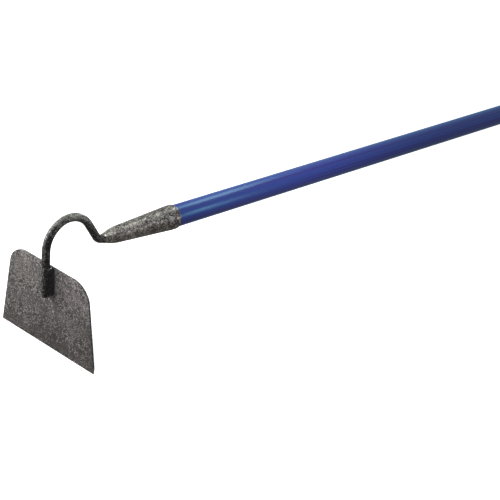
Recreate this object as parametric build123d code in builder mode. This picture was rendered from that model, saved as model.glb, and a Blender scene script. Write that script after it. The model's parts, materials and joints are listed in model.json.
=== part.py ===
from build123d import *
import os
from math import atan2, cos, radians, sin

# A swan neck garden hoe, in millimetres, set down on the floor: it stands on its cutting edge and on the
# butt of its handle. +X runs along the floor from the blade towards the butt, +Z is up, and the hoe is
# symmetric about the XZ plane, apart from its cross rivet. The origin is on the floor, under the middle
# of the hoe's overall box.

# Blade: a trapezoid of plate, widest at its cutting edge
BLADE_WIDTH = 178.0
BLADE_TOP_WIDTH = 143.5
BLADE_HEIGHT = 127.0
BLADE_THICKNESS = 3.0
SHOULDER_RADIUS = 30.0
CORNER_RADIUS = 1.5
BEVEL_HEIGHT = 8.0
BEVEL_DEPTH = 2.2

# Where the cutting edge lies, measured along and square to the handle's axis from the socket's mouth
BLADE_REACH = 215.6
BLADE_DROP = 141.7
BLADE_LEAN = 8.0

# Swan neck: a round bar, bent in three arcs
ROD_RADIUS = 5.75
ROD_TIP_HEIGHT = 82.0
ARCH_START_HEIGHT = 151.0
ARCH_RADIUS = 35.0
ARCH_TURN = 98.0
FALL_RADIUS = 49.5
FALL_TURN = 51.0
HEEL_RADIUS = 16.5
ROD_END = -105.0
ROD_CHAMFER = 0.8

# Handle: a fibreglass tube, turned down where the socket takes it, and closed by a plastic cap
HANDLE_RADIUS = 15.875
HANDLE_BORE_RADIUS = 12.7
HANDLE_LENGTH = 1372.0
TURNED_RADIUS = 15.575
SHOULDER_GAP = 0.5
CAP_LENGTH = 8.0
CAP_ROUND = 5.0
CAP_SPIGOT_LENGTH = 30.0

# Socket: a cone with a straight mouth and a rounded nose. Lengths are negative, from the mouth forwards.
SOCKET_RADIUS = 17.5
SOCKET_WALL = 1.8
MOUTH_LENGTH = 9.0
CONE_END = -110.0
CONE_END_RADIUS = 11.8
NOSE_RADIUS = 92.0
NOSE_TURN = 16.0
NOSE_BORE_LENGTH = 10.0
NOSE_WELD_LENGTH = 2.5
MOUTH_ROUND = 0.6
SEAM_START = -6.0
SEAM_RADIUS = 2.0
SEAM_RISE = 0.7

# What the socket holds
TUBE_END = -46.0
PLUG_TIP = -98.0
PLUG_SPIGOT_LENGTH = 130.0
GLUE_GAP = 0.1
RIVET_AT = -20.0
RIVET_ROLL = 25.0
RIVET_RADIUS = 2.4
RIVET_HEAD_RADIUS = 4.5
RIVET_HEAD_RISE = 2.3
RIVET_CLEARANCE = 0.05

# Fillet welds that hold the bar to the blade
WELD_LEG = 10.5
WELD_CLIMB = 7.5
WELD_ROOT = 2.0
WELD_MARGIN = 1.0
ROOT_GAP = 0.05

os.makedirs("parts", exist_ok=True)

# The floor touches the cutting edge and the rim of the butt, which tilts the handle down to the butt
handle_end = HANDLE_LENGTH + TUBE_END
tilt = atan2(BLADE_DROP - HANDLE_RADIUS, BLADE_REACH + handle_end - CAP_ROUND)
lean = radians(BLADE_LEAN)
fall_angle = radians(ARCH_TURN + FALL_TURN - 90 - BLADE_LEAN)

# Along the handle, the front of the neck's arch and the butt are as far from the origin
stem_offset = ROD_RADIUS + ROOT_GAP
arch_x = -BLADE_REACH + (ARCH_RADIUS - stem_offset) * cos(lean) - ARCH_START_HEIGHT * sin(lean)
arch_y = -BLADE_DROP + (ARCH_RADIUS - stem_offset) * sin(lean) + ARCH_START_HEIGHT * cos(lean)
front = arch_x * cos(tilt) + arch_y * sin(tilt) - ARCH_RADIUS - ROD_RADIUS
butt = (handle_end - CAP_ROUND) * cos(tilt) + (HANDLE_RADIUS - CAP_ROUND) * sin(tilt) + CAP_ROUND
mouth_x = -(front + butt) / 2
mouth_z = BLADE_DROP * cos(tilt) - BLADE_REACH * sin(tilt)
edge_x = mouth_x - BLADE_REACH * cos(tilt) - BLADE_DROP * sin(tilt)

# side: the plane of symmetry, from the socket's mouth, with x along the handle to the butt and y up
side = Plane(origin=(mouth_x, 0, mouth_z), x_dir=(cos(tilt), 0, -sin(tilt)), z_dir=(0, -1, 0))
handle_axis = Axis(side.origin, side.x_dir)

# face: the blade's outer face, from the middle of the cutting edge, with y up the blade and z outwards
face = Plane(origin=(edge_x, 0, 0), x_dir=(0, -1, 0), z_dir=(-cos(lean - tilt), 0, -sin(lean - tilt)))

# rivet_section: across the socket at the rivet, with y along the rivet
rivet_direction = side.z_dir * cos(radians(RIVET_ROLL)) + side.y_dir * sin(radians(RIVET_ROLL))
rivet_centre = side.from_local_coords((RIVET_AT, 0, 0))
rivet_section = Plane(rivet_centre, x_dir=side.x_dir, z_dir=side.x_dir.cross(rivet_direction))
rivet_across = Plane(rivet_centre, x_dir=side.x_dir, z_dir=rivet_direction)


def on_rod(height):
    """A point on the bar's straight stem, in side, at a height up the blade's outer face."""
    x = -BLADE_REACH - stem_offset * cos(lean) - height * sin(lean)
    y = -BLADE_DROP - stem_offset * sin(lean) + height * cos(lean)
    return (x, y)


def taper(x, mouth_radius):
    """Radius at x of a surface that is straight behind the mouth and then follows the socket's cone."""
    slope = (SOCKET_RADIUS - CONE_END_RADIUS) / (-MOUTH_LENGTH - CONE_END)
    return mouth_radius - slope * (-MOUTH_LENGTH - x)


def socket_outline():
    """The socket's outside, from the mouth to the nose, drawn in the current BuildLine."""
    mouth = Line((0, SOCKET_RADIUS), (-MOUTH_LENGTH, SOCKET_RADIUS))
    cone = Line(mouth @ 1, (CONE_END, CONE_END_RADIUS))
    return JernArc(cone @ 1, cone % 1, NOSE_RADIUS, NOSE_TURN)


def save(part, label):
    part.label = label
    export_step(part, f"parts/{label}.step")


# Blade, with its bevel ground on the inner face
with BuildPart() as blade:
    with BuildSketch(face) as blade_outline:
        with BuildLine():
            Polyline(
                (-BLADE_WIDTH / 2, 0),
                (BLADE_WIDTH / 2, 0),
                (BLADE_TOP_WIDTH / 2, BLADE_HEIGHT),
                (-BLADE_TOP_WIDTH / 2, BLADE_HEIGHT),
                close=True,
            )
        make_face()
        corners = blade_outline.vertices().group_by(Axis.Y)
        fillet(corners[-1], SHOULDER_RADIUS)
        fillet(corners[0], CORNER_RADIUS)
    extrude(amount=-BLADE_THICKNESS)
    with BuildSketch(Plane(face.origin, x_dir=-face.z_dir, z_dir=face.x_dir)):
        with BuildLine():
            Polyline(
                (BLADE_THICKNESS - BEVEL_DEPTH, 0),
                (BLADE_THICKNESS + 1, 0),
                (BLADE_THICKNESS + 1, BEVEL_HEIGHT),
                (BLADE_THICKNESS, BEVEL_HEIGHT),
                close=True,
            )
        make_face()
    extrude(amount=BLADE_WIDTH, both=True, mode=Mode.SUBTRACT)
save(blade.part, "blade")

# Swan neck: up the blade, over, down and into the socket along the handle's axis
with BuildPart() as swan_neck:
    with BuildLine(side) as neck_path:
        stem = Line(on_rod(ROD_TIP_HEIGHT), on_rod(ARCH_START_HEIGHT))
        arch = JernArc(stem @ 1, stem % 1, ARCH_RADIUS, -ARCH_TURN)
        fall = JernArc(arch @ 1, arch % 1, FALL_RADIUS, -FALL_TURN)
        height = side.to_local_coords(fall @ 1).Y - HEEL_RADIUS * (1 - cos(fall_angle))
        drop = Line(fall @ 1, (fall @ 1) + (fall % 1) * (height / sin(fall_angle)))
        heel = JernArc(drop @ 1, drop % 1, HEEL_RADIUS, ARCH_TURN + FALL_TURN - 90 - BLADE_LEAN)
        Line(heel @ 1, (ROD_END, 0))
    with BuildSketch(Plane(origin=stem @ 0, z_dir=stem % 0)):
        Circle(ROD_RADIUS)
    sweep()
    rims = swan_neck.edges().filter_by(GeomType.CIRCLE).filter_by(lambda rim: rim.is_closed)
    chamfer([rims.sort_by(Axis.Z)[0], rims.sort_by(Axis.X)[-1]], ROD_CHAMFER)
save(swan_neck.part, "swan_neck")

# The two fillet welds in the corners between the bar and the blade
with BuildPart() as neck_weld_right:
    foot = face.from_local_coords((0, ROD_TIP_HEIGHT + WELD_MARGIN, 0))
    with BuildSketch(Plane(foot, x_dir=-face.x_dir, z_dir=face.y_dir)):
        with BuildLine():
            Polyline(
                (-WELD_ROOT, 0),
                (-WELD_LEG, 0),
                (-ROD_RADIUS - 0.5, WELD_CLIMB),
                (-WELD_ROOT, WELD_CLIMB),
                close=True,
            )
        make_face()
        with Locations((0, stem_offset)):
            Circle(ROD_RADIUS, mode=Mode.SUBTRACT)
    extrude(amount=BLADE_HEIGHT - ROD_TIP_HEIGHT - 2 * WELD_MARGIN)
save(neck_weld_right.part, "neck_weld_right")

with BuildPart() as neck_weld_left:
    mirror(neck_weld_right.part, about=Plane.XZ)
save(neck_weld_left.part, "neck_weld_left")

# The hole that the rivet passes through
with BuildPart() as rivet_hole:
    with BuildSketch(rivet_across):
        Circle(RIVET_RADIUS + RIVET_CLEARANCE)
    extrude(amount=SOCKET_RADIUS + RIVET_HEAD_RISE, both=True)

# Everything inside the socket's outer surface, to fit the rivet's heads and the seam weld to it
with BuildPart() as socket_envelope:
    with BuildSketch(side):
        with BuildLine():
            nose = socket_outline()
            Polyline(nose @ 1, ((nose @ 1).X, 0), (0, 0), (0, SOCKET_RADIUS))
        make_face()
    revolve(axis=handle_axis)
    nose_end = side.to_local_coords(socket_envelope.faces().sort_by(handle_axis)[0].center()).X

# Socket: the cone's wall is even, and the nose closes down on the bar
with BuildPart() as socket:
    with BuildSketch(side):
        with BuildLine():
            nose = socket_outline()
            bore_radius = SOCKET_RADIUS - SOCKET_WALL
            Polyline(
                nose @ 1,
                (nose_end, ROD_RADIUS),
                (nose_end + NOSE_BORE_LENGTH, ROD_RADIUS),
                (CONE_END, taper(CONE_END, bore_radius)),
                (-MOUTH_LENGTH, bore_radius),
                (0, bore_radius),
                (0, SOCKET_RADIUS),
            )
        make_face()
    revolve(axis=handle_axis)
    mouth_rims = socket.edges().filter_by(GeomType.CIRCLE).group_by(handle_axis)[-1]
    fillet(mouth_rims, MOUTH_ROUND)
    add(rivet_hole.part, mode=Mode.SUBTRACT)
save(socket.part, "socket")

# The socket is rolled from sheet, and a weld closes it along its underside
with BuildPart() as socket_seam_weld:
    depth = SOCKET_RADIUS + SEAM_RISE - SEAM_RADIUS
    with BuildLine(side):
        Polyline(
            (SEAM_START, -depth),
            (-MOUTH_LENGTH, -depth),
            (CONE_END, -taper(CONE_END, depth)),
        )
    with BuildSketch(Plane(side.from_local_coords((SEAM_START, -depth, 0)), z_dir=-side.x_dir)):
        Circle(SEAM_RADIUS)
    sweep(transition=Transition.RIGHT)
    add(socket_envelope.part, mode=Mode.SUBTRACT)
save(socket_seam_weld.part, "socket_seam_weld")

# Ring weld between the socket's nose and the bar
with BuildPart() as nose_weld:
    with BuildSketch(side):
        with BuildLine():
            Polyline(
                (nose_end, ROD_RADIUS),
                (nose_end, ROD_RADIUS + 1),
                (nose_end - NOSE_WELD_LENGTH, ROD_RADIUS),
                close=True,
            )
        make_face()
    revolve(axis=handle_axis)
save(nose_weld.part, "nose_weld")

# Handle tube: a shoulder stops at the socket's mouth, and the end inside is turned to the socket's taper
with BuildPart() as handle_tube:
    with BuildSketch(side):
        with BuildLine():
            Polyline(
                (TUBE_END, HANDLE_BORE_RADIUS),
                (TUBE_END, taper(TUBE_END, TURNED_RADIUS)),
                (-MOUTH_LENGTH, TURNED_RADIUS),
                (SHOULDER_GAP, TURNED_RADIUS),
                (SHOULDER_GAP, HANDLE_RADIUS),
                (handle_end - CAP_LENGTH, HANDLE_RADIUS),
                (handle_end - CAP_LENGTH, HANDLE_BORE_RADIUS),
                close=True,
            )
        make_face()
    revolve(axis=handle_axis)
    add(rivet_hole.part, mode=Mode.SUBTRACT)
save(handle_tube.part, "handle_tube")

# Core plug: a hardwood spigot glued into the tube, with a cone that fills the socket ahead of it
with BuildPart() as core_plug:
    with BuildSketch(side):
        with BuildLine():
            Polyline(
                (PLUG_TIP, 0),
                (PLUG_TIP, taper(PLUG_TIP, TURNED_RADIUS)),
                (TUBE_END - GLUE_GAP, taper(TUBE_END - GLUE_GAP, TURNED_RADIUS)),
                (TUBE_END - GLUE_GAP, HANDLE_BORE_RADIUS - GLUE_GAP),
                (TUBE_END + PLUG_SPIGOT_LENGTH, HANDLE_BORE_RADIUS - GLUE_GAP),
                (TUBE_END + PLUG_SPIGOT_LENGTH, 0),
                close=True,
            )
        make_face()
    revolve(axis=handle_axis)
    add(rivet_hole.part, mode=Mode.SUBTRACT)
save(core_plug.part, "core_plug")

# Cross rivet: two domed heads that sit on the socket, and the shank between them
with BuildPart() as rivet:
    head_top = taper(RIVET_AT, SOCKET_RADIUS) + RIVET_HEAD_RISE
    head_foot = head_top - 2 * RIVET_HEAD_RISE
    head_rim = head_top - 0.7 * RIVET_HEAD_RISE
    with BuildSketch(rivet_section):
        with BuildLine():
            rim = Polyline(
                (0, head_top),
                (0, head_foot),
                (RIVET_HEAD_RADIUS, head_foot),
                (RIVET_HEAD_RADIUS, head_rim),
            )
            TangentArc(rim @ 0, rim @ 1, tangent=(1, 0))
        make_face()
    revolve(axis=Axis(rivet_section.origin, rivet_section.y_dir))
    mirror(about=rivet_across)
    add(socket_envelope.part, mode=Mode.SUBTRACT)
    with BuildSketch(rivet_across):
        Circle(RIVET_RADIUS)
    extrude(amount=head_rim - 0.3, both=True)
save(rivet.part, "rivet")

# End cap: a domed plug in the butt of the tube
with BuildPart() as end_cap:
    with BuildSketch(side) as cap_outline:
        with BuildLine():
            Polyline(
                (handle_end, 0),
                (handle_end, HANDLE_RADIUS),
                (handle_end - CAP_LENGTH, HANDLE_RADIUS),
                (handle_end - CAP_LENGTH, HANDLE_BORE_RADIUS - GLUE_GAP),
                (handle_end - CAP_LENGTH - CAP_SPIGOT_LENGTH, HANDLE_BORE_RADIUS - GLUE_GAP),
                (handle_end - CAP_LENGTH - CAP_SPIGOT_LENGTH, 0),
                close=True,
            )
        make_face()
        fillet(cap_outline.vertices().group_by(Axis.X)[-1].sort_by(Axis.Y)[-1], CAP_ROUND)
    revolve(axis=handle_axis)
save(end_cap.part, "end_cap")
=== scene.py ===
"""Looks of the swan neck garden hoe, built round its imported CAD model.

Lengths are in metres. Pieces are drawn in two local frames, one at the socket's mouth and one at
the blade's cutting edge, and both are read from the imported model.
"""

import json
import math
from collections import namedtuple

import bmesh
import bpy
from mathutils import Matrix, Vector, noise


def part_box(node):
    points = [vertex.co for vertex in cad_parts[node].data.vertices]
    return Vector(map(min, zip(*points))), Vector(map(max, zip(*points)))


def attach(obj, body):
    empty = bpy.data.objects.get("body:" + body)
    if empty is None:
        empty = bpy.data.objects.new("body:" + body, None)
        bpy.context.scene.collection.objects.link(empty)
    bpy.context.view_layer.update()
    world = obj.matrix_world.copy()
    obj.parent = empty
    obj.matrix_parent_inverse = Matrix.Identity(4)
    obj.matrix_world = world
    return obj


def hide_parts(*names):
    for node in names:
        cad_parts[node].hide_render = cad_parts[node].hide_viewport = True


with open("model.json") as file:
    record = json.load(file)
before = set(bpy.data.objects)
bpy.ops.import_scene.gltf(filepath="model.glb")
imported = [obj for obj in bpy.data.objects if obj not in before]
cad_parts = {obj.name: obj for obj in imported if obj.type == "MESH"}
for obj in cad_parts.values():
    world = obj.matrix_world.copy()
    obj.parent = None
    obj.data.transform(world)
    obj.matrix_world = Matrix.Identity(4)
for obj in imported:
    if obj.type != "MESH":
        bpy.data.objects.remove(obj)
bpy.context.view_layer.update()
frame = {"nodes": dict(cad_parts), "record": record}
nodes = frame["nodes"]

MM = 0.001

# Camera: a long lens that looks down on the head, from ahead of the blade and to one side.
# Its aim is measured from the socket's mouth.
CAMERA_AZIMUTH = -52.32
CAMERA_ELEVATION = 28.91
CAMERA_ROLL = 7.76
CAMERA_DISTANCE = 2.442
CAMERA_LENS = 126.0
CAMERA_AIM = Vector((0.0572, -0.0990, -0.0276))
CAMERA_RANGE = 30

# Handle: a tube turned down where the socket takes it. Distances are from the socket's mouth.
TUBE_SEGMENTS = 96
TUBE_BANDS = 24
TUBE_BORE = 12.7 * MM
TUBE_END = -46.5 * MM
TURNED_RADIUS = 15.575 * MM
TURNED_TIP_RADIUS = 13.487 * MM
TURNED_STRAIGHT = -9.5 * MM
SHOULDER_ROUND = 0.4 * MM
SHOULDER_STEPS = 4
CAP_SEAT = 3 * MM
RIVET_HOLE_RADIUS = 2.45 * MM
RIVET_HOLE_SEGMENTS = 48

# Blade
BEVEL_TOP = 8 * MM
PAINT_LINE_DIP = 0.5 * MM
PAINT_LINE_RISE = 0.3 * MM
EDGE_ROUND = 0.4 * MM
EDGE_SEGMENTS = 3
EDGE_ANGLE = 35
MERGE_DISTANCE = 0.002 * MM

# Welds: beads of overlapping scallops
ROD_RADIUS = 5.75 * MM
BEAD_PITCH = 2.4 * MM

# Neck welds: the face of a fillet runs from its toe on the blade to its root on the bar
NECK_WELD_STEP = 0.3 * MM
NECK_WELD_POINTS = 12
NECK_WELD_CLIMB = 7.5 * MM
NECK_WELD_ROOT = 0.9 * ROD_RADIUS
NECK_WELD_END = 3 * MM
NECK_WELD_RIPPLE = 0.22 * MM
NECK_WELD_LAG = 1.4 * MM
NECK_WELD_WOBBLE = 0.25 * MM
NECK_WELD_HOLLOW = 0.6 * MM
NECK_WELD_NORMAL = (0.55, 0.83)
NECK_WELD_SINK = 0.05 * MM
NECK_WELD_BACK = 0.7
NECK_WELD_INSIDE = (3.0 * MM, 2.5 * MM)
SMALLEST_END = 0.25

# Nose weld: a ring of weld with a round section, half sunk in the bar
NOSE_WELD_SEGMENTS = 160
NOSE_WELD_SCALLOPS = 16
NOSE_WELD_POINTS = 10
NOSE_WELD_CENTRE = ROD_RADIUS + 0.25 * MM
NOSE_WELD_THICKNESS = 0.75 * MM
NOSE_WELD_RIPPLE = 0.18 * MM
NOSE_WELD_FILL = 0.85

# Edges sharper than these angles stay sharp
TUBE_SHARP = 25
WELD_SHARP = 60

# Noise textures: nearly all of their values lie in this band
NOISE_BAND = (0.3, 0.7)

# Hammered paint: a dimple's net and wave are in dimple widths, and a tone is a share of the way
# from the dark paint to the light
DIMPLE_NET = (0.02, 0.34)
DIMPLE_WAVE = 0.9
DIMPLE_TONE = 0.62
OWN_TONE = 0.28
CLOUD_TONE = 0.07
PATCH_TONE = 0.06
FLAKE_TONE = 0.42
DUST_TONE = 0.2
NET_METALLIC = 0.1
NET_ROUGHNESS = 0.06
PAINT_RELIEF = 0.11 * MM
PAINT_GRAIN = 0.03 * MM

# Bare steel of the bevel
STEEL_METALLIC = 0.6
STEEL_ROUGHNESS = -0.06
STEEL_GROOVES = 0.4
STEEL_LOW, STEEL_HIGH = (0.30, 0.295, 0.285), (0.52, 0.51, 0.49)
STAIN_COLOUR = (0.22, 0.17, 0.12)
STAIN_BAND = (0.55, 0.75)
STAIN_STRENGTH = 0.45

# Relief of the other materials
STRAND_RELIEF = 0.06 * MM
WOOD_RELIEF = 0.15 * MM
PLASTIC_RELIEF = 0.05 * MM

# Studio: the world gets brighter and cooler upwards, in a band given by the sine of the elevation
SKY_BAND = (-0.3, 0.4)
SKY_STRENGTH = (0.19, 0.35)
SKY_TINTS = ((1.0, 0.92, 0.90), (0.86, 0.96, 1.0))
WHITE = (1, 1, 1)
FLOOR_SIZE = 30
FLOOR_GLOW = 0.75

# Painted shading: a change of tone along a frame's axis: where it starts and ends, and the tones
# added there
Fade = namedtuple("Fade", "place axis start end low high")


# ------------------------------------------------------------------ places read from the frame
def handle_frame():
    """A frame at the socket's mouth, with x to the butt and z upwards, and the mount's size."""
    mount = next(m for m in frame["record"]["mounts"] if m["name"] == "handle")
    along = Vector(mount["axis"]).normalized()
    length = mount["dims"]["length_mm"] * MM
    start = Vector(mount["pos_m"]) - along * length / 2
    across = Vector((0, 1, 0))
    basis = Matrix((along, across, along.cross(across))).transposed().to_4x4()
    return Matrix.Translation(start) @ basis, length, mount["dims"]["r_mm"] * MM


def blade_frame():
    """A frame at the middle of the cutting edge, with z up the outer face and x into the plate."""
    outer = max(nodes["blade"].data.polygons, key=lambda face: face.area * (face.normal.x < 0))
    inwards = -outer.normal
    across = Vector((0, 1, 0))
    upwards = inwards.cross(across)
    low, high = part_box("blade")
    middle = outer.center.copy()
    middle.y = (low.y + high.y) / 2
    edge = middle - upwards * (middle.z - low.z) / upwards.z
    basis = Matrix((inwards, across, upwards)).transposed().to_4x4()
    return Matrix.Translation(edge) @ basis


handle_place, handle_length, handle_radius = handle_frame()
blade_place = blade_frame()
arch_place = Matrix.Translation((0, 0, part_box("swan_neck")[1].z))


# ------------------------------------------------------------------ material tools
def new_material(name):
    """A material with its node tree and its shader's inputs."""
    material = bpy.data.materials.new(name)
    material.use_nodes = True
    return material, material.node_tree, material.node_tree.nodes["Principled BSDF"].inputs


def feed(tree, socket, value):
    """Links an output to a socket, or sets the socket to a plain value."""
    if isinstance(value, bpy.types.NodeSocket):
        tree.links.new(value, socket)
    else:
        socket.default_value = value


def place(tree, place_matrix=None, scale=(1, 1, 1)):
    """Object coordinates, turned into a frame of their own and scaled, in cells per metre."""
    coords = tree.nodes.new("ShaderNodeTexCoord").outputs["Object"]
    if place_matrix is not None:
        turn = tree.nodes.new("ShaderNodeMapping")
        turn.vector_type = "TEXTURE"
        turn.inputs["Location"].default_value = place_matrix.to_translation()
        turn.inputs["Rotation"].default_value = place_matrix.to_euler()
        tree.links.new(coords, turn.inputs["Vector"])
        coords = turn.outputs["Vector"]
    stretch = tree.nodes.new("ShaderNodeVectorMath")
    stretch.operation = "MULTIPLY"
    tree.links.new(coords, stretch.inputs[0])
    stretch.inputs[1].default_value = scale
    return stretch.outputs["Vector"]


def split(tree, vector):
    """The X, Y and Z of a vector."""
    node = tree.nodes.new("ShaderNodeSeparateXYZ")
    tree.links.new(vector, node.inputs[0])
    return node.outputs


def fractal(tree, coords, scale=1.0, detail=3.0, roughness=0.55, output="Fac"):
    """A noise texture."""
    node = tree.nodes.new("ShaderNodeTexNoise")
    node.inputs["Scale"].default_value = scale
    node.inputs["Detail"].default_value = detail
    node.inputs["Roughness"].default_value = roughness
    tree.links.new(coords, node.inputs["Vector"])
    return node.outputs[output]


def cells(tree, coords, scale, feature, output):
    """A texture of irregular cells."""
    node = tree.nodes.new("ShaderNodeTexVoronoi")
    node.feature = feature
    node.inputs["Scale"].default_value = scale
    tree.links.new(coords, node.inputs["Vector"])
    return node.outputs[output]


def remap(tree, value, low, high, new_low=0.0, new_high=1.0, smooth=True):
    """A value moved from one range to another, and held at the new range's ends."""
    node = tree.nodes.new("ShaderNodeMapRange")
    node.interpolation_type = "SMOOTHSTEP" if smooth else "LINEAR"
    feed(tree, node.inputs["Value"], value)
    node.inputs["From Min"].default_value = low
    node.inputs["From Max"].default_value = high
    node.inputs["To Min"].default_value = new_low
    node.inputs["To Max"].default_value = new_high
    return node.outputs["Result"]


def widen(tree, texture, low=0.0, high=1.0):
    """A noise texture stretched to fill the whole of a range."""
    return remap(tree, texture, *NOISE_BAND, low, high)


def calc(tree, operation, a, b):
    """One step of arithmetic."""
    node = tree.nodes.new("ShaderNodeMath")
    node.operation = operation
    feed(tree, node.inputs[0], a)
    feed(tree, node.inputs[1], b)
    return node.outputs["Value"]


def blend(tree, factor, a, b):
    """Mixes two colours."""
    node = tree.nodes.new("ShaderNodeMix")
    node.data_type = "RGBA"
    feed(tree, node.inputs["Factor"], factor)
    feed(tree, node.inputs["A"], a if isinstance(a, bpy.types.NodeSocket) else (*a, 1))
    feed(tree, node.inputs["B"], b if isinstance(b, bpy.types.NodeSocket) else (*b, 1))
    return node.outputs["Result"]


def emboss(tree, height, distance, under=None):
    """A bump of the given depth, over another one."""
    node = tree.nodes.new("ShaderNodeBump")
    node.inputs["Strength"].default_value = 1.0
    node.inputs["Distance"].default_value = distance
    tree.links.new(height, node.inputs["Height"])
    if under is not None:
        tree.links.new(under, node.inputs["Normal"])
    return node.outputs["Normal"]


# ------------------------------------------------------------------ materials
def wavy_dimples(tree, coords, cell):
    """How far a point is inside its dimple, from 0 to 1, and a random number for each dimple."""
    shift = tree.nodes.new("ShaderNodeVectorMath")
    shift.operation = "MULTIPLY_ADD"
    tree.links.new(fractal(tree, coords, 0.5 / cell, detail=2.0, output="Color"), shift.inputs[0])
    shift.inputs[1].default_value = (cell * DIMPLE_WAVE,) * 3
    tree.links.new(coords, shift.inputs[2])
    wavy = shift.outputs["Vector"]
    edge = cells(tree, wavy, 1 / cell, "DISTANCE_TO_EDGE", "Distance")
    own = tree.nodes.new("ShaderNodeSeparateColor")
    tree.links.new(cells(tree, wavy, 1 / cell, "F1", "Color"), own.inputs["Color"])
    return remap(tree, edge, *DIMPLE_NET), own.outputs["Red"]


def bare_bevel(tree, coords, colour, metallic, roughness, height):
    """The surface of a painted blade, with bare ground steel on its bevel.

    The bevel lies behind the rounded edge of the outer face, and below a ragged line of paint.
    """
    local = split(tree, place(tree, blade_place))
    ragged = fractal(tree, coords, scale=300)
    paint_line = widen(tree, ragged, BEVEL_TOP - PAINT_LINE_DIP, BEVEL_TOP + PAINT_LINE_RISE)
    below = calc(tree, "LESS_THAN", local["Z"], paint_line)
    behind = calc(tree, "GREATER_THAN", local["X"], EDGE_ROUND)
    bare = calc(tree, "MULTIPLY", below, behind)
    painted = calc(tree, "SUBTRACT", 1.0, bare)

    scratches = fractal(tree, place(tree, blade_place, scale=(500, 4000, 60)))
    stain = remap(tree, fractal(tree, coords, scale=120), *STAIN_BAND, 0.0, STAIN_STRENGTH)
    steel = blend(tree, widen(tree, scratches), STEEL_LOW, STEEL_HIGH)
    steel = blend(tree, stain, steel, STAIN_COLOUR)
    colour = blend(tree, bare, colour, steel)
    metallic = calc(tree, "MAXIMUM", metallic, calc(tree, "MULTIPLY", bare, STEEL_METALLIC))
    roughness = calc(tree, "ADD", roughness, calc(tree, "MULTIPLY", bare, STEEL_ROUGHNESS))
    grooves = calc(tree, "MULTIPLY", calc(tree, "MULTIPLY", scratches, bare), STEEL_GROOVES)
    height = calc(tree, "ADD", calc(tree, "MULTIPLY", height, painted), grooves)
    return colour, metallic, roughness, height


def hammered_paint(
    name, dark, light, cell, contrast, metallic, roughness=0.38, painted_shading=None, bevel=False
):
    """Hammered paint: dimples of light metallic paint with a darker net between them.

    cell is a dimple's width. contrast is that of the flakes, and of one dimple against another.
    """
    material, tree, shader = new_material(name)
    coords = place(tree)
    dimple, own = wavy_dimples(tree, coords, cell)

    layers = [remap(tree, own, 0.0, 1.0, -OWN_TONE * contrast, OWN_TONE * contrast, smooth=False)]
    for texture, size in (
        (fractal(tree, coords, scale=0.12 / cell), CLOUD_TONE),
        (fractal(tree, coords, scale=14, detail=2.0), PATCH_TONE),
        (fractal(tree, coords, scale=2.2 / cell, roughness=0.65), FLAKE_TONE * contrast),
        (fractal(tree, coords, scale=7 / cell, detail=2.0, roughness=0.6), DUST_TONE),
    ):
        layers.append(widen(tree, texture, -size, size))
    # Painted shade and light: the tone changes along the piece
    if painted_shading is not None:
        along = split(tree, place(tree, painted_shading.place))[painted_shading.axis]
        layers.append(remap(tree, along, painted_shading.start, painted_shading.end, painted_shading.low, painted_shading.high, smooth=False))
    tone = calc(tree, "MULTIPLY", dimple, DIMPLE_TONE)
    for layer in layers:
        tone = calc(tree, "ADD", tone, layer)
    tone = remap(tree, tone, 0.0, 1.0, smooth=False)

    surface = (
        blend(tree, tone, dark, light),
        remap(tree, tone, 0.1, 0.9, NET_METALLIC, metallic),
        remap(tree, dimple, 0.0, 1.0, roughness + NET_ROUGHNESS, roughness - NET_ROUGHNESS),
        dimple,
    )
    if bevel:
        surface = bare_bevel(tree, coords, *surface)
    for socket, value in zip(("Base Color", "Metallic", "Roughness"), surface):
        feed(tree, shader[socket], value)
    grain = emboss(tree, fractal(tree, coords, scale=2600, detail=2.0), PAINT_GRAIN)
    feed(tree, shader["Normal"], emboss(tree, surface[-1], PAINT_RELIEF, grain))
    return material


def fibreglass(name):
    """Glossy blue pultruded fibreglass, with its fibres running along the handle."""
    material, tree, shader = new_material(name)
    shader["Specular IOR Level"].default_value = 1.0
    shader["Specular Tint"].default_value = (0.12, 0.75, 1.0, 1)
    shader["Sheen Weight"].default_value = 0.3
    shader["Sheen Roughness"].default_value = 0.35
    shader["Sheen Tint"].default_value = (0.0, 0.7, 1.0, 1)
    strands = fractal(tree, place(tree, handle_place, scale=(1.6, 420, 420)))
    tows = fractal(tree, place(tree, handle_place, scale=(0.9, 110, 110)), detail=2.0)
    share = calc(tree, "MULTIPLY", widen(tree, strands), 0.5)
    share = calc(tree, "ADD", share, calc(tree, "MULTIPLY", remap(tree, tows, 0.42, 0.58), 0.5))
    colour = blend(tree, share, (0.052, 0.022, 0.22), (0.043, 0.050, 0.33))
    feed(tree, shader["Base Color"], colour)
    feed(tree, shader["Roughness"], widen(tree, strands, 0.22, 0.40))
    feed(tree, shader["Normal"], emboss(tree, strands, STRAND_RELIEF))
    return material


def wood(name):
    """Raw hardwood, with its grain along the handle."""
    material, tree, shader = new_material(name)
    shader["Roughness"].default_value = 0.7
    shader["Specular IOR Level"].default_value = 0.3
    coords = place(tree, handle_place, scale=(12, 160, 160))
    grain = fractal(tree, coords, detail=5.0, roughness=0.65)
    colour = blend(tree, widen(tree, grain), (0.30, 0.19, 0.10), (0.60, 0.44, 0.26))
    feed(tree, shader["Base Color"], colour)
    feed(tree, shader["Normal"], emboss(tree, grain, WOOD_RELIEF))
    return material


def moulded_plastic(name):
    """Black moulded plastic with a fine sparked grain."""
    material, tree, shader = new_material(name)
    shader["Specular IOR Level"].default_value = 0.4
    coords = place(tree)
    grain = fractal(tree, coords, scale=1800, detail=2.0)
    wear = fractal(tree, coords, scale=90)
    colour = blend(
        tree, remap(tree, wear, 0.35, 0.7), (0.018, 0.018, 0.020), (0.032, 0.032, 0.034)
    )
    feed(tree, shader["Base Color"], colour)
    feed(tree, shader["Roughness"], widen(tree, wear, 0.42, 0.58))
    feed(tree, shader["Normal"], emboss(tree, grain, PLASTIC_RELIEF))
    return material


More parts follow.
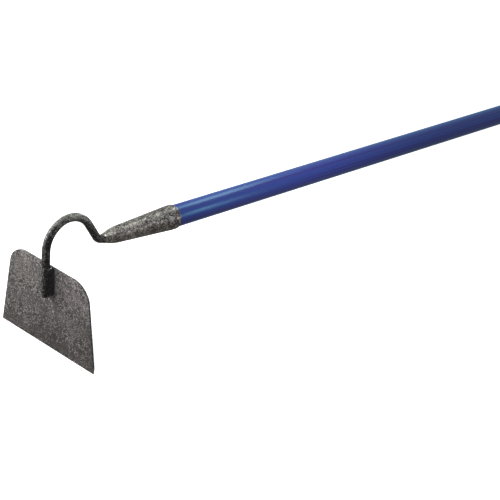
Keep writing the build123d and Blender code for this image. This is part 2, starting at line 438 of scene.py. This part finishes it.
def glowing_white(name):
    """Matt white for the floor, with some light of its own."""
    material, tree, shader = new_material(name)
    shader["Roughness"].default_value = 0.9
    shader["Specular IOR Level"].default_value = 0.1
    tone = widen(tree, fractal(tree, place(tree), scale=1.2, detail=2.0))
    feed(tree, shader["Base Color"], blend(tree, tone, (0.80,) * 3, (0.84,) * 3))
    shader["Emission Color"].default_value = (*WHITE, 1)
    shader["Emission Strength"].default_value = FLOOR_GLOW
    return material


def paint(name, material):
    """Gives a CAD node its material."""
    mesh = nodes[name].data
    mesh.materials.clear()
    mesh.materials.append(material)


blade_paint = hammered_paint(
    "blade_paint",
    dark=(0.040, 0.036, 0.034),
    light=(0.46, 0.425, 0.412),
    cell=2.6 * MM,
    contrast=1.1,
    metallic=0.25,
    # Painted shade: the blade's tone gets darker towards the cutting edge
    painted_shading=Fade(blade_place, "Z", start=0.0, end=0.1, low=-0.28, high=0.06),
    bevel=True,
)
# Painted shade: the neck's paint is a darker copy of the blade's
neck_paint = hammered_paint(
    "neck_paint",
    dark=(0.010, 0.010, 0.010),
    light=(0.30, 0.30, 0.26),
    cell=2.8 * MM,
    contrast=1.6,
    metallic=0.3,
    roughness=0.5,
    # Painted shade below the arch and painted light on its top
    painted_shading=Fade(arch_place, "Z", start=-0.022, end=-0.006, low=-0.32, high=0.28),
)
socket_paint = hammered_paint(
    "socket_paint",
    dark=(0.024, 0.023, 0.021),
    light=(0.66, 0.62, 0.53),
    cell=2.9 * MM,
    contrast=1.5,
    metallic=0.7,
    roughness=0.32,
    # Painted light: the socket's tone gets lighter towards the nose
    painted_shading=Fade(handle_place, "X", start=-0.13, end=-0.01, low=0.13, high=-0.05),
)
# Painted shade: the welds' paint is a darker copy of the hammered paint, for the shade in the
# corners by the bar
shaded_weld_paint = hammered_paint(
    "shaded_weld_paint",
    dark=(0.008, 0.008, 0.008),
    light=(0.105, 0.103, 0.098),
    cell=1.8 * MM,
    contrast=0.9,
    metallic=0.4,
    roughness=0.48,
)
# Painted highlight: the rivet's paint is much lighter than the socket's, for the light on its head
rivet_highlight_paint = hammered_paint(
    "rivet_highlight_paint",
    dark=(0.32, 0.315, 0.30),
    light=(0.90, 0.85, 0.80),
    cell=2.0 * MM,
    contrast=0.6,
    metallic=0.8,
)
handle_blue = fibreglass("handle_blue")

paint("blade", blade_paint)
paint("swan_neck", neck_paint)
paint("socket", socket_paint)
paint("socket_seam_weld", socket_paint)
paint("rivet", rivet_highlight_paint)
paint("core_plug", wood("core_wood"))
paint("end_cap", moulded_plastic("cap_plastic"))


# ------------------------------------------------------------------ mesh tools
def finish_mesh(name, mesh, place_matrix, material, replaced):
    """Makes a piece from a bmesh drawn in a local frame, and stands it in for its CAD node."""
    mesh.transform(place_matrix)
    bmesh.ops.recalc_face_normals(mesh, faces=mesh.faces)
    data = bpy.data.meshes.new(name)
    mesh.to_mesh(data)
    mesh.free()
    data.materials.append(material)
    piece = bpy.data.objects.new(name, data)
    bpy.context.scene.collection.objects.link(piece)
    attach(piece, "root")
    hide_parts(replaced)
    return piece


def shade(piece, angle):
    """Smooth shading, apart from edges sharper than an angle in degrees."""
    piece.data.shade_smooth()
    piece.data.set_sharp_from_angle(angle=math.radians(angle))


def join_rings(mesh, rings, closed):
    """Quads between closed rings of vertices. closed also joins the last ring to the first."""
    count = len(rings[0])
    pairs = list(zip(rings, rings[1:]))
    if closed:
        pairs.append((rings[-1], rings[0]))
    for first, second in pairs:
        for i in range(count):
            j = (i + 1) % count
            mesh.faces.new((first[i], first[j], second[j], second[i]))


def turned(profiles):
    """A closed solid round x, from closed profiles of (x, radius) points, one for each step."""
    mesh = bmesh.new()
    rings = []
    for step, profile in enumerate(profiles):
        angle = 2 * math.pi * step / len(profiles)
        rings.append([
            mesh.verts.new((x, radius * math.sin(angle), radius * math.cos(angle)))
            for x, radius in profile
        ])
    join_rings(mesh, rings, closed=True)
    return mesh


def arc(centre, radius, start, end, steps):
    """Points along an arc, with angles in degrees."""
    for step in range(steps + 1):
        angle = math.radians(start + (end - start) * step / steps)
        yield (centre[0] + radius * math.cos(angle), centre[1] + radius * math.sin(angle))


def drill(piece, cutter):
    """Cuts one mesh object out of another for good."""
    cut = piece.modifiers.new("hole", "BOOLEAN")
    cut.operation = "DIFFERENCE"
    cut.solver = "EXACT"
    cut.object = cutter
    evaluated = piece.evaluated_get(bpy.context.evaluated_depsgraph_get())
    drilled = bpy.data.meshes.new_from_object(evaluated)
    piece.modifiers.remove(cut)
    piece.data = drilled
    bpy.data.objects.remove(cutter)


def ripple(distance, pitch):
    """The height of a weld bead's overlapping scallops at a distance along it, from 0 to 1."""
    phase = (distance / pitch) % 1.0
    return math.sqrt(max(0.0, 1 - phase * phase))


def rounded_end(distance, length, radius):
    """The share of its full section that a bead has near its two ends."""
    near = min(distance, length - distance)
    if near >= radius:
        return 1.0
    return max(SMALLEST_END, math.sqrt(max(0.0, 1 - ((radius - near) / radius) ** 2)))


# ------------------------------------------------------------------ pieces
def build_handle():
    """The tube: bore, turned end, shoulder at the socket's mouth and the bare length to the cap."""
    butt = handle_length - CAP_SEAT
    shoulder = arc(
        (SHOULDER_ROUND, handle_radius - SHOULDER_ROUND), SHOULDER_ROUND, 180, 90, SHOULDER_STEPS
    )
    bare_length = butt - SHOULDER_ROUND
    profile = [
        (TUBE_END, TUBE_BORE),
        (TUBE_END, TURNED_TIP_RADIUS),
        (TURNED_STRAIGHT, TURNED_RADIUS),
        (0, TURNED_RADIUS),
        *shoulder,
        *(
            (SHOULDER_ROUND + bare_length * band / TUBE_BANDS, handle_radius)
            for band in range(1, TUBE_BANDS + 1)
        ),
        (butt, TUBE_BORE),
    ]
    mesh = turned([profile] * TUBE_SEGMENTS)
    tube = finish_mesh(
        "fibreglass_tube", mesh, handle_place, handle_blue, "handle_tube"
    )
    bpy.ops.mesh.primitive_cylinder_add(
        vertices=RIVET_HOLE_SEGMENTS, radius=RIVET_HOLE_RADIUS, depth=4 * handle_radius
    )
    cutter = bpy.context.object
    low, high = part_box("rivet")
    along = Vector((0, low.y - high.y, high.z - low.z)).normalized()
    turn = along.to_track_quat("Z", "Y").to_matrix().to_4x4()
    cutter.matrix_world = Matrix.Translation((low + high) / 2) @ turn
    bpy.context.view_layer.update()
    drill(tube, cutter)
    shade(tube, TUBE_SHARP)


def neck_weld_section(side, toe, distance, size):
    """A fillet weld's section, as (into the blade, across it) points from its toe up to the bar.

    Its face is hollow, with scallops that trail in the middle. Two points inside the bar close it.
    """
    section = []
    for step in range(NECK_WELD_POINTS + 1):
        share = step / NECK_WELD_POINTS
        middle = math.sin(math.pi * share)
        lag = NECK_WELD_LAG * (1 - (2 * share - 1) ** 2)
        rise = NECK_WELD_RIPPLE * ripple(distance + lag, BEAD_PITCH) * middle
        wobble = NECK_WELD_WOBBLE * noise.noise(Vector((distance * 300, side * 5, share * 2)))
        bulge = (rise + wobble - NECK_WELD_HOLLOW * middle) * size
        out = NECK_WELD_CLIMB * share * size + bulge * NECK_WELD_NORMAL[0]
        across = NECK_WELD_ROOT + (toe - NECK_WELD_ROOT) * (1 - share) * size
        section.append((-out, side * (across + bulge * NECK_WELD_NORMAL[1])))
    section[0] = (NECK_WELD_SINK, section[0][1])
    section.append((-NECK_WELD_CLIMB * NECK_WELD_BACK * size, side * NECK_WELD_INSIDE[0]))
    section.append((NECK_WELD_SINK, side * NECK_WELD_INSIDE[1]))
    return section


def build_neck_weld(name, node, side):
    """A fillet weld in the corner between the bar and the blade, on the side of y's sign."""
    low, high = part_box(node)
    bottom = (blade_place.inverted() @ Vector((low.x, 0, low.z))).z
    length = (high.z - low.z) / blade_place.to_3x3().col[2].z
    toe = max(abs(low.y), abs(high.y))
    stations = round(length / NECK_WELD_STEP)
    mesh = bmesh.new()
    rings = []
    for station in range(stations + 1):
        distance = length * station / stations
        size = rounded_end(distance, length, NECK_WELD_END)
        rings.append([
            mesh.verts.new((inwards, across, bottom + distance))
            for inwards, across in neck_weld_section(side, toe, distance, size)
        ])
    join_rings(mesh, rings, closed=False)
    mesh.faces.new(rings[0])
    mesh.faces.new(list(reversed(rings[-1])))
    piece = finish_mesh(name, mesh, blade_place, shaded_weld_paint, node)
    shade(piece, WELD_SHARP)


def build_nose_weld():
    """A ring of weld between the socket's nose and the bar."""
    to_local = handle_place.inverted()
    low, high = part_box("nose_weld")
    height = (low.z + high.z) / 2
    front, back = ((to_local @ Vector((x, 0, height))).x for x in (low.x, high.x))
    middle, half = (front + back) / 2, (back - front) / 2
    profiles = []
    for step in range(NOSE_WELD_SEGMENTS):
        distance = step / NOSE_WELD_SEGMENTS * NOSE_WELD_SCALLOPS * BEAD_PITCH
        thickness = NOSE_WELD_THICKNESS + NOSE_WELD_RIPPLE * ripple(distance, BEAD_PITCH)
        turns = [2 * math.pi * point / NOSE_WELD_POINTS for point in range(NOSE_WELD_POINTS)]
        profiles.append([
            (
                middle + half * NOSE_WELD_FILL * math.cos(turn),
                NOSE_WELD_CENTRE + thickness * math.sin(turn),
            )
            for turn in turns
        ])
    piece = finish_mesh(
        "weld_ring_nose", turned(profiles), handle_place, socket_paint, "nose_weld"
    )
    shade(piece, WELD_SHARP)


def soften(node):
    """Rounds the sharp edges of a CAD node slightly, so that they catch the light."""
    piece = nodes[node]
    weld = piece.modifiers.new("merge", "WELD")
    weld.merge_threshold = MERGE_DISTANCE
    edges = piece.modifiers.new("rounded_edges", "BEVEL")
    edges.width = EDGE_ROUND
    edges.segments = EDGE_SEGMENTS
    edges.limit_method = "ANGLE"
    edges.angle_limit = math.radians(EDGE_ANGLE)
    edges.harden_normals = True


build_handle()
build_neck_weld("weld_bead_right", "neck_weld_right", -1)
build_neck_weld("weld_bead_left", "neck_weld_left", 1)
build_nose_weld()
soften("blade")


# ------------------------------------------------------------------ studio
def add_floor():
    """A white floor that takes no part in the light on the object."""
    bpy.ops.mesh.primitive_plane_add(size=FLOOR_SIZE, location=(0, 0, 0))
    floor = bpy.context.object
    floor.name = "floor"
    floor.data.materials.append(glowing_white("floor_white"))
    floor.visible_diffuse = False
    floor.visible_glossy = False


def add_light(name, target, direction, distance, size, power, colour=WHITE, beam=180):
    """A soft box, aimed at a point of the handle's axis at a distance behind the socket's mouth.

    Its direction is from the point to the light. It is round if it has one size, and rectangular if
    it has two. A grid narrows its beam to an angle in degrees.
    """
    data = bpy.data.lights.new(name, "AREA")
    if isinstance(size, tuple):
        data.shape = "RECTANGLE"
        data.size, data.size_y = size
    else:
        data.shape = "DISK"
        data.size = size
    data.energy = power
    data.color = colour
    data.spread = math.radians(beam)
    light = bpy.data.objects.new(name, data)
    light.visible_camera = False
    away = Vector(direction).normalized()
    light.location = handle_place @ Vector((target, 0, 0)) + away * distance
    light.rotation_mode = "QUATERNION"
    light.rotation_quaternion = (-away).to_track_quat("-Z", "Y")
    bpy.context.scene.collection.objects.link(light)


def add_world():
    """A world that lights the object softly from all round, and looks white to the camera."""
    world = bpy.data.worlds.new("studio")
    world.use_nodes = True
    tree = world.node_tree
    background = tree.nodes["Background"]
    rise = split(tree, tree.nodes.new("ShaderNodeTexCoord").outputs["Generated"])["Z"]
    seen = tree.nodes.new("ShaderNodeLightPath").outputs["Is Camera Ray"]
    strength = remap(tree, rise, *SKY_BAND, *SKY_STRENGTH)
    tint = blend(tree, remap(tree, rise, *SKY_BAND), *SKY_TINTS)
    feed(tree, background.inputs["Strength"], calc(tree, "MAXIMUM", strength, seen))
    feed(tree, background.inputs["Color"], blend(tree, seen, tint, WHITE))
    bpy.context.scene.world = world


def add_camera():
    """The photograph's view, given by its azimuth, elevation and roll."""
    azimuth, elevation = math.radians(CAMERA_AZIMUTH), math.radians(CAMERA_ELEVATION)
    back = Vector((
        math.sin(azimuth) * math.cos(elevation),
        -math.cos(azimuth) * math.cos(elevation),
        math.sin(elevation),
    ))
    camera = bpy.data.objects.new("camera", bpy.data.cameras.new("camera"))
    camera.data.lens = CAMERA_LENS
    camera.data.clip_end = CAMERA_RANGE
    camera.location = handle_place.to_translation() + CAMERA_AIM + back * CAMERA_DISTANCE
    camera.rotation_mode = "QUATERNION"
    roll = Matrix.Rotation(math.radians(CAMERA_ROLL), 4, "Z").to_quaternion()
    camera.rotation_quaternion = (-back).to_track_quat("-Z", "Y") @ roll
    bpy.context.scene.collection.objects.link(camera)
    bpy.context.scene.camera = camera


bpy.context.scene.view_settings.view_transform = "Standard"
add_floor()
add_world()
# The key lights the blade and the neck. The over light picks out the top of the arch, and the far
# light the handle towards its butt. The top and low lights give the handle its two streaks.
add_light("key", -0.22, (-0.58, 0.74, 0.34), distance=1.3, size=1.0, power=31)
add_light("over", -0.185, (0.5, -0.2, 0.84), distance=0.6, size=0.05, power=0.032, beam=8)
add_light(
    "far", 0.6, (-0.45, -0.45, 0.77), distance=0.9, size=0.4, power=1.5, colour=(0.95, 0.85, 1.0)
)
add_light(
    "top", -0.05, (0.782, 0.148, 0.605), distance=0.5, size=(0.16, 0.3), power=0.45,
    colour=(0.95, 0.97, 0.96),
)
add_light(
    "low", -0.04, (0.7445, -0.65, 0.148), distance=0.5, size=(0.16, 0.16), power=0.27,
    colour=(1.0, 0.92, 0.97),
)
add_light("back", -0.2, (0.3, 0.94, 0.15), distance=0.8, size=0.4, power=3)
add_camera()
